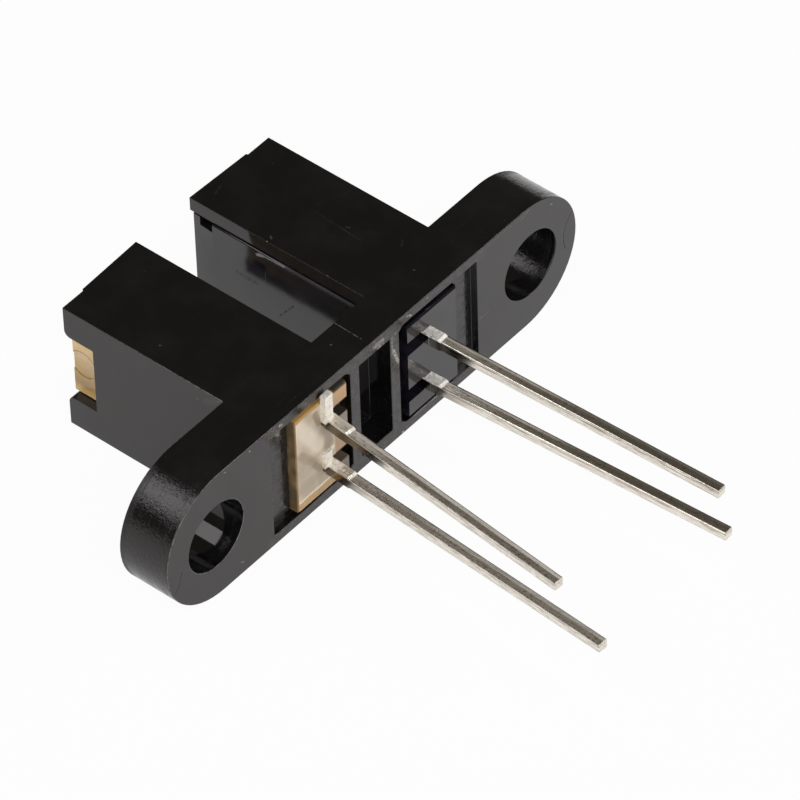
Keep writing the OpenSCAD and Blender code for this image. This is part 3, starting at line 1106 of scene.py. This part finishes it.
        # Painted shade near the root and on the top, the painted highlight, the pits and the streaks are
        # mixed into the colour.
        for share, tone in (
            (root_side_shade, self.pit_and_shade_tone), (matt, solder), (painted_glint, self.painted_glint),
            (graph.times(flank, self.side_shade_and_streaks[1]), self.pit_and_shade_tone), (pits, self.pit_and_shade_tone),
            (graph.times(top_shade, self.top_shade), self.pit_and_shade_tone),
        ):
            colour = graph.mix(share, colour, tone)
        rough = graph.pile(
            graph.range(drawn, 0.09, 0.22), ((matt, 0.40), (far, 0.30), (grainy, 0.12), (pits, 0.10)))
        rugged = graph.math("ADD", graph.range(grainy, 0.3, 2.2), matt)
        normal = graph.bump(graph.times(grit, rugged), 0.008, 0.7, graph.bump(drawn, 0.003, 0.6))
        metal = graph.math("SUBTRACT", 1.0, graph.times(matt, 0.60))
        metal = graph.pile(metal, ((painted_glint, -0.4), (far, -0.30)))
        return graph.finish({
            "Base Color": colour, "Roughness": rough, "Normal": normal,
            "Metallic": graph.math("SUBTRACT", metal, haze, clamp=True),
        })


@dataclass(frozen=True)
class LeadEdge:
    """Long edges of the leads, where the tin is thicker and grainy, and duller towards the end.

    Attributes:
        name: Name of the material.
        width: Width of the rounded edge.
        polish: Least and greatest roughness.
        dulled: How dark and deep the grains are, from 0 to 1.
        bright: Colour of the clean tin.
        dull: Colour of the grains and the dull end.
        end_y: Stretch over which the edge gets duller.
        end_dulling: How dull the end is, from 0 to 1.
    """

    name: str
    width: float
    polish: Span
    dulled: float
    bright: Colour = (0.93, 0.87, 0.77)
    dull: Colour = (0.30, 0.27, 0.22)
    end_y: Span = (-5.0, -10.0)
    end_dulling: float = 0.5

    def make(self) -> bpy.types.Material:
        """Builds the material.

        Returns:
            The material.
        """
        graph = Graph(self.name)
        grit = graph.noise(graph.place(), scale=8.0, detail=4.0, rough=0.7)
        grains = graph.range(graph.step(grit, 0.46, 0.62), 0.0, self.dulled)
        end = graph.times(graph.step(graph.axis("Y"), *self.end_y), self.end_dulling)
        return graph.finish({
            "Base Color": graph.mix(end, graph.mix(grains, self.bright, self.dull), self.dull),
            "Roughness": graph.range(grit, *self.polish),
            "Normal": graph.bump(grit, 0.008 * self.dulled, 0.7),
            "Metallic": 1.0,
        })


@dataclass(frozen=True)
class ChipDie:
    """Semiconductor die, with paler metal in a fine pattern over its face."""

    name: str
    plain: Colour
    pad: Colour

    def make(self) -> bpy.types.Material:
        """Builds the material.

        Returns:
            The material.
        """
        graph = Graph(self.name)
        weave = graph.noise(graph.place(), scale=24.0, detail=2.0)
        colour = graph.mix(graph.step(weave, 0.45, 0.6), self.plain, self.pad)
        rough = graph.range(weave, 0.12, 0.3)
        return graph.finish({"Base Color": colour, "Roughness": rough, "Metallic": 0.5, "IOR": 1.8})


@dataclass(frozen=True)
class GoldWire:
    """Fine gold bond wire."""

    name: str = "gold_wire"
    bright: Colour = (0.90, 0.66, 0.25)
    deep: Colour = (0.70, 0.46, 0.13)

    def make(self) -> bpy.types.Material:
        """Builds the material.

        Returns:
            The material.
        """
        graph = Graph(self.name)
        drawn = graph.noise(graph.place(), scale=40.0, detail=2.0)
        colour = graph.mix(graph.step(drawn, 0.4, 0.6), self.bright, self.deep)
        rough = graph.range(drawn, 0.15, 0.3)
        return graph.finish({"Base Color": colour, "Roughness": rough, "Metallic": 1.0})


@dataclass(frozen=True)
class PaleFloor:
    """White table top that stays white to the eye and in reflections, and keeps a faint shadow.

    Attributes:
        name: Name of the material.
        tones: The two whites of the table top.
        glow: How white it is to the eye, from 0 to 1.
        mirrored: How white it is in reflections, at the left and at the right.
        mirror_x: Where those two lie.
    """

    name: str = "pale_floor"
    tones: tuple[Colour, Colour] = ((0.90, 0.90, 0.90), (0.88, 0.88, 0.88))
    glow: float = 0.95
    mirrored: Span = (0.55, 1.0)
    mirror_x: Span = (-12.0, 14.0)

    def make(self) -> bpy.types.Material:
        """Builds the material.

        Returns:
            The material.
        """
        graph = Graph(self.name)
        path = graph.add("ShaderNodeLightPath").outputs
        direct = graph.most(path["Is Camera Ray"], path["Is Transmission Ray"])
        side = graph.step(graph.axis("X"), *self.mirror_x, soft=False)
        mirror = graph.times(path["Is Glossy Ray"], graph.range(side, *self.mirrored))
        seen = graph.most(graph.times(direct, self.glow), mirror)
        tone = graph.mix(graph.noise(graph.place(), scale=0.02, detail=2.0), *self.tones)
        matt = graph.add("ShaderNodeBsdfDiffuse", {"Color": tone})
        white = graph.add("ShaderNodeEmission", {"Color": (1.0, 1.0, 1.0, 1.0), "Strength": 1.0})
        blend = graph.add("ShaderNodeMixShader", {
            "Fac": seen, 1: matt.outputs["BSDF"], 2: white.outputs["Emission"],
        })
        graph.add("ShaderNodeOutputMaterial", {"Surface": blend.outputs["Shader"]})
        return graph.material


# Modelling


def clear_selection() -> None:
    """Leaves edit mode and deselects everything."""
    if bpy.context.object is not None and bpy.context.object.mode != "OBJECT":
        bpy.ops.object.mode_set(mode="OBJECT")
    bpy.ops.object.select_all(action="DESELECT")


def activate(piece: bpy.types.Object) -> None:
    """Makes a piece the only selected and active object.

    Args:
        piece: The piece.
    """
    clear_selection()
    piece.select_set(True)
    bpy.context.view_layer.objects.active = piece


def triangles(piece: bpy.types.Object) -> int:
    """Counts the triangles of a piece's mesh."""
    piece.data.calc_loop_triangles()
    return len(piece.data.loop_triangles)


@dataclass
class MouldedCopy:
    """A piece made from a CAD node: its copy, merged, with its edges rounded off.

    Attributes:
        node: Name of the CAD node that the piece stands for.
        name: Name of the piece.
        slot: Material slot of the record; not used.
        rounding: Width of the rounded edges, in millimetres.
        segments: Facets across a rounded edge.
        smooth: Angle in degrees up to which neighbouring faces are shaded as one.
        long_rounding: Width of the rounding on long straight edges below the seat, in millimetres.
    """

    node: str
    name: str
    slot: Slot
    rounding: float
    segments: int = 2
    smooth: float = 50.0
    long_rounding: float = 0.0

    def copy_node(self) -> bpy.types.Object:
        """Copies the node's mesh into a new object and merges its loose triangles.

        A cut along the middle of the width keeps a flat face with a hole from becoming one polygon.

        Returns:
            The new object, with flat faces joined.
        """
        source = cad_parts[self.node]
        piece = bpy.data.objects.new(self.name, source.data.copy())
        bpy.context.scene.collection.objects.link(piece)
        piece.data.name = self.name
        piece.data.materials.clear()
        activate(piece)
        bpy.ops.object.mode_set(mode="EDIT")
        bpy.ops.mesh.select_mode(type="VERT")
        bpy.ops.mesh.select_all(action="SELECT")
        bpy.ops.mesh.customdata_custom_splitnormals_clear()
        bpy.ops.mesh.remove_doubles(threshold=MERGE_GAP * MM)
        bpy.ops.mesh.bisect(plane_co=(0, 0, 0), plane_no=(0, 0, 1), threshold=MERGE_GAP * MM)
        bpy.ops.mesh.mark_seam(clear=False)
        bpy.ops.mesh.select_all(action="SELECT")
        bpy.ops.mesh.dissolve_limited(angle_limit=math.radians(FLAT_ANGLE), delimit={"SEAM"})
        bpy.ops.object.mode_set(mode="OBJECT")
        return piece

    def round_long_edges(self, piece: bpy.types.Object, edge_slot: int) -> None:
        """Rounds the long straight edges of a lead.

        Args:
            piece: The merged piece.
            edge_slot: Index of the material that the rounded edges take.
        """
        activate(piece)
        bpy.ops.object.mode_set(mode="EDIT")
        bpy.ops.mesh.select_mode(type="EDGE")
        bpy.ops.mesh.select_all(action="DESELECT")
        bpy.ops.object.mode_set(mode="OBJECT")
        spots = piece.data.vertices
        for edge in piece.data.edges:
            first, last = (spots[number].co for number in edge.vertices)
            edge.select = (last - first).length > LONG_EDGE * MM and max(first.y, last.y) < 0.0
        bpy.ops.object.mode_set(mode="EDIT")
        bpy.ops.mesh.bevel(
            offset=self.long_rounding * MM, segments=LONG_EDGE_FACETS, affect="EDGES", clamp_overlap=False,
            material=edge_slot)
        bpy.ops.object.mode_set(mode="OBJECT")

    def round_edges(self, piece: bpy.types.Object, edge_slot: int) -> None:
        """Rounds the sharp edges of a piece.

        Args:
            piece: The merged piece.
            edge_slot: Index of the material that the rounded edges take.
        """
        bevel = piece.modifiers.new("rounded_edges", "BEVEL")
        bevel.width = self.rounding * MM
        bevel.segments = self.segments
        bevel.limit_method = "ANGLE"
        bevel.angle_limit = math.radians(SHARP_ANGLE)
        bevel.miter_outer = "MITER_ARC"
        bevel.use_clamp_overlap = True
        bevel.material = edge_slot
        activate(piece)
        bpy.ops.object.modifier_apply(modifier=bevel.name)
        bpy.ops.object.shade_smooth_by_angle(angle=math.radians(self.smooth))
        flat = piece.modifiers.new("flat_faces", "WEIGHTED_NORMAL")
        flat.mode = "FACE_AREA"
        flat.weight = 100
        flat.keep_sharp = True
        bpy.ops.object.modifier_apply(modifier=flat.name)

    def build(self, face: bpy.types.Material, edge: bpy.types.Material | None = None) -> bpy.types.Object:
        """Builds and dresses the piece.

        Args:
            face: Material of the faces.
            edge: Material of the rounded edges, if it is another one.

        Returns:
            The finished piece, which rides on the part and stands for its node.
        """
        piece = self.copy_node()
        piece.data.materials.append(face)
        if edge is not None:
            piece.data.materials.append(edge)
        edge_slot = 1 if edge is not None else -1
        if self.long_rounding:
            self.round_long_edges(piece, edge_slot)
        self.round_edges(piece, edge_slot)
        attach(piece, BODY)
        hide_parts(self.node)
        LOG.info("%s: %d triangles", self.name, triangles(piece))
        return piece


@dataclass
class Housing:
    """The black moulding with its flange, ears, towers and pockets."""

    shell: MouldedCopy = field(default_factory=lambda: MouldedCopy(
        "housing", "housing_moulding", Slot.HOUSING, rounding=0.05))
    finish: BlackMoulding = BlackMoulding()
    edge: WornEdge = WornEdge()

    def build(self) -> bpy.types.Object:
        """Builds the moulding."""
        return self.shell.build(self.finish.make(), self.edge.make())


@dataclass
class Package:
    """One cast package with its lead frame, chip and bond wire.

    Attributes:
        side: Tower that it stands in.
        block_finish: Finish of the cast block.
        block_slot: Material slot of the block.
        die: Finish of the chip.
        leads: Finish of each lead, by the end of its node's name.
        lead_edge: Finish and width of the leads' long edges.
        block_rounding: Width of the block's rounded edges, in millimetres.
        lead_rounding: Width of the leads' other rounded edges, in millimetres.
        lead_smooth: Angle in degrees up to which a lead's faces are shaded as one.
    """

    side: Side
    block_finish: AmberEpoxy | BlackEpoxy
    block_slot: Slot
    die: ChipDie
    leads: dict[str, TinnedLead]
    lead_edge: LeadEdge
    block_rounding: float = 0.025
    lead_rounding: float = 0.03
    lead_smooth: float = 15.0

    def part(self, kind: str) -> str:
        """Gives the name of one of the package's CAD nodes."""
        return f"{self.side.name.lower()}_{kind}"

    def build(self, wire: bpy.types.Material) -> list[bpy.types.Object]:
        """Builds the block and the leads, and dresses the chip and the bond wire.

        Args:
            wire: Material of the bond wire.

        Returns:
            The pieces that stand for CAD nodes.
        """
        block = MouldedCopy(self.part("body"), self.part("block"), self.block_slot, self.block_rounding)
        made = [block.build(self.block_finish.make())]
        edge = self.lead_edge.make()
        for kind, finish in self.leads.items():
            lead = MouldedCopy(
                self.part(kind), self.part(kind) + "_tinned", Slot.LEAD, self.lead_rounding,
                smooth=self.lead_smooth, long_rounding=self.lead_edge.width)
            made.append(lead.build(finish.make(), edge))
        self.dress("chip", self.die.make())
        self.dress("bond_wire", wire)
        return made

    def dress(self, kind: str, material: bpy.types.Material) -> None:
        """Gives a CAD node that stays as it is its material.

        Args:
            kind: End of the node's name.
            material: The material.
        """
        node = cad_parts[self.part(kind)]
        node.data.materials.clear()
        node.data.materials.append(material)
        LOG.info("%s: dressed", self.part(kind))


def emitter_package() -> Package:
    """Gives the amber package with its finishes.

    Returns:
        The package, not built yet.
    """
    pad = TinnedLead(
        "tin_emitter_pad", Side.EMITTER, LEAD_LEVEL, lean=4.9, root_y=-0.45, far_strip=-0.03,
        strip=(1.3, 1.3), haze=(0.42, 0.05), facet_y=NO_FACET_Y, top_shade=0.0, side_shade_and_streaks=(0.97, 0.35))
    wire = TinnedLead(
        "tin_emitter_wire", Side.EMITTER, -LEAD_LEVEL, lean=4.1, root_y=-0.75, far_strip=-0.02,
        strip=(0.5, 0.9), haze=(0.16, 0.10), facet_y=-1.36, top_shade=0.0, side_shade_and_streaks=(0.85, 0.35))
    edge = LeadEdge(
        "tin_edge_emitter", width=0.05, polish=(0.52, 0.72), dulled=1.0, bright=(0.42, 0.38, 0.33),
        dull=(0.17, 0.15, 0.125))
    die = ChipDie("emitter_die", plain=(0.30, 0.27, 0.24), pad=(0.62, 0.50, 0.26))
    return Package(
        Side.EMITTER, AmberEpoxy(), Slot.AMBER, die, {"pad_lead": pad, "wire_lead": wire}, edge)


def sensor_package() -> Package:
    """Gives the black package with its finishes.

    Returns:
        The package, not built yet.
    """
    solder = (0.94, 0.925, 0.90)
    pad = TinnedLead(
        "tin_sensor_pad", Side.SENSOR, LEAD_LEVEL, lean=2.6, root_y=-0.82, far_strip=-0.06,
        strip=(0.9, 0.25), haze=(0.14, 0.02), facet_y=-0.90, top_shade=0.55, side_shade_and_streaks=(0.55, 0.75),
        solder=solder)
    wire = TinnedLead(
        "tin_sensor_wire", Side.SENSOR, -LEAD_LEVEL, lean=2.2, root_y=-0.82, far_strip=-0.06,
        strip=(1.0, 0.10), haze=(0.28, 0.02), facet_y=-0.90, top_shade=0.55, side_shade_and_streaks=(0.60, 0.60),
        solder=solder)
    edge = LeadEdge("tin_edge_sensor", width=0.06, polish=(0.10, 0.26), dulled=0.7)
    die = ChipDie("sensor_die", plain=(0.10, 0.13, 0.20), pad=(0.55, 0.55, 0.56))
    return Package(
        Side.SENSOR, BlackEpoxy(), Slot.BLACK, die, {"pad_lead": pad, "wire_lead": wire}, edge)


# Studio


@dataclass(frozen=True)
class Softbox:
    """A square area lamp that faces the part.

    Attributes:
        name: Name of the lamp.
        towards: Direction from the part to the lamp.
        distance_m: Distance from the part, in metres.
        size_m: Side of the lamp, in metres.
        radiance: Brightness of its face, where 1 is white.
        tint: Colour of its light.
    """

    name: str
    towards: Triple
    distance_m: float
    size_m: float
    radiance: float
    tint: Colour = (1.0, 1.0, 1.0)

    def build(self) -> bpy.types.Object:
        """Adds the lamp.

        Returns:
            The lamp's object.
        """
        lamp = bpy.data.lights.new(self.name, "AREA")
        lamp.shape = "SQUARE"
        lamp.size = self.size_m
        lamp.color = self.tint
        lamp.energy = self.radiance * math.pi * self.size_m ** 2
        thing = bpy.data.objects.new(self.name, lamp)
        bpy.context.scene.collection.objects.link(thing)
        direction = Vector(self.towards).normalized()
        thing.location = direction * self.distance_m
        thing.rotation_euler = direction.to_track_quat("Z", "Y").to_euler()
        return thing


@dataclass
class Studio:
    """Pale floor, soft light and the photograph's camera.

    Attributes:
        floor_finish: Finish of the floor.
        floor_half_m: Half its side, in metres.
        floor_cells: Cells along its side.
        lamps: The lamps.
        ceiling: Colour of the surroundings overhead.
        horizon: Height, from 0 to 1, at which they are dark.
        target: Point that the camera looks at.
        distance: Distance of the camera from it.
        azimuth: Turn of the camera round the part, in degrees.
        elevation: Height of the camera, in degrees.
        roll: Tilt of the camera, in degrees.
        focal_px: Focal length, in pixels of the photograph.
        frame_px: Width of the photograph, in pixels.
        sensor: Width of the camera's sensor.
        clip_m: Nearest and furthest distance that the camera sees, in metres.
    """

    floor_finish: PaleFloor = PaleFloor()
    floor_half_m: float = 1.2
    floor_cells: int = 8
    lamps: tuple[Softbox, ...] = (
        Softbox("softbox_behind_left", (-0.50, 0.48, 0.71), 0.50, 0.28, 3.0, (0.95, 0.97, 1.0)),
        Softbox("softbox_front", (-0.35, -0.80, 0.62), 0.60, 0.50, 2.2),
        Softbox("softbox_left", (-0.86, -0.38, 0.34), 0.60, 0.40, 2.8),
        Softbox("softbox_right", (0.53, -0.46, 0.71), 0.60, 0.20, 6.5),
    )
    ceiling: Colour = (0.125, 0.115, 0.098)
    horizon: float = 0.06
    target: Triple = (0.504, -0.788, 0.0)
    distance: float = 291.16
    azimuth: float = -48.802
    elevation: float = 45.239
    roll: float = -1.904
    focal_px: float = 7476.94
    frame_px: float = 800.0
    sensor: float = 36.0
    clip_m: Span = (0.01, 10.0)

    def add_floor(self, height_m: float) -> None:
        """Adds the floor at a height, as a wide plate.

        Args:
            height_m: Height of the floor, in metres.
        """
        clear_selection()
        bpy.ops.mesh.primitive_grid_add(
            x_subdivisions=self.floor_cells, y_subdivisions=self.floor_cells, size=2 * self.floor_half_m,
            location=(0, 0, height_m))
        floor = bpy.context.object
        floor.name = "floor"
        bpy.ops.object.transform_apply(location=True, rotation=True, scale=True)
        floor.data.materials.append(self.floor_finish.make())
        floor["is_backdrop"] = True

    def add_world(self) -> None:
        """Adds the surroundings: pale at the horizon and dark overhead."""
        world = bpy.data.worlds.new("studio")
        bpy.context.scene.world = world
        world.use_nodes = True
        tree = world.node_tree
        tree.nodes.clear()
        where = tree.nodes.new("ShaderNodeTexCoord")
        parts = tree.nodes.new("ShaderNodeSeparateXYZ")
        ramp = tree.nodes.new("ShaderNodeValToRGB")
        back = tree.nodes.new("ShaderNodeBackground")
        out = tree.nodes.new("ShaderNodeOutputWorld")
        low, high = ramp.color_ramp.elements
        low.position, low.color = 0.0, (1.0, 1.0, 1.0, 1.0)
        high.position, high.color = self.horizon, (*self.ceiling, 1.0)
        tree.links.new(where.outputs["Generated"], parts.inputs["Vector"])
        tree.links.new(parts.outputs["Z"], ramp.inputs["Fac"])
        tree.links.new(ramp.outputs["Color"], back.inputs["Color"])
        tree.links.new(back.outputs["Background"], out.inputs["Surface"])

    def add_camera(self) -> None:
        """Adds the camera where the photograph was taken from."""
        a, e, r = (math.radians(v) for v in (self.azimuth, self.elevation, self.roll))
        back = Vector((math.sin(a) * math.cos(e), -math.cos(a) * math.cos(e), math.sin(e)))
        right = Vector((0, 0, 1)).cross(back).normalized()
        up = back.cross(right)
        across = right * math.cos(r) + up * math.sin(r)
        upward = up * math.cos(r) - right * math.sin(r)
        eye = (Vector(self.target) + back * self.distance) * MM
        data = bpy.data.cameras.new("camera")
        data.sensor_width = self.sensor
        data.lens = self.focal_px / self.frame_px * self.sensor
        data.clip_start, data.clip_end = self.clip_m
        camera = bpy.data.objects.new("camera", data)
        bpy.context.scene.collection.objects.link(camera)
        camera.matrix_world = Matrix((
            (across.x, upward.x, back.x, eye.x),
            (across.y, upward.y, back.y, eye.y),
            (across.z, upward.z, back.z, eye.z),
            (0.0, 0.0, 0.0, 1.0),
        ))
        bpy.context.scene.camera = camera

    def build(self, floor_m: float) -> None:
        """Builds the whole studio.

        Args:
            floor_m: Height of the floor, in metres.
        """
        bpy.context.scene.view_settings.view_transform = "Standard"
        self.add_floor(floor_m)
        self.add_world()
        for lamp in self.lamps:
            lamp.build()
        self.add_camera()
        LOG.info("studio: %d lamps", len(self.lamps))


def main() -> None:
    """Builds the switch and its studio."""
    logging.basicConfig(level=logging.INFO, format="%(name)s %(message)s")
    cad_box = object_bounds()
    Studio().build(cad_box[0].z)
    Housing().build()
    wire = GoldWire().make()
    for package in (emitter_package(), sensor_package()):
        package.build(wire)


if __name__ == "__main__":
    main()
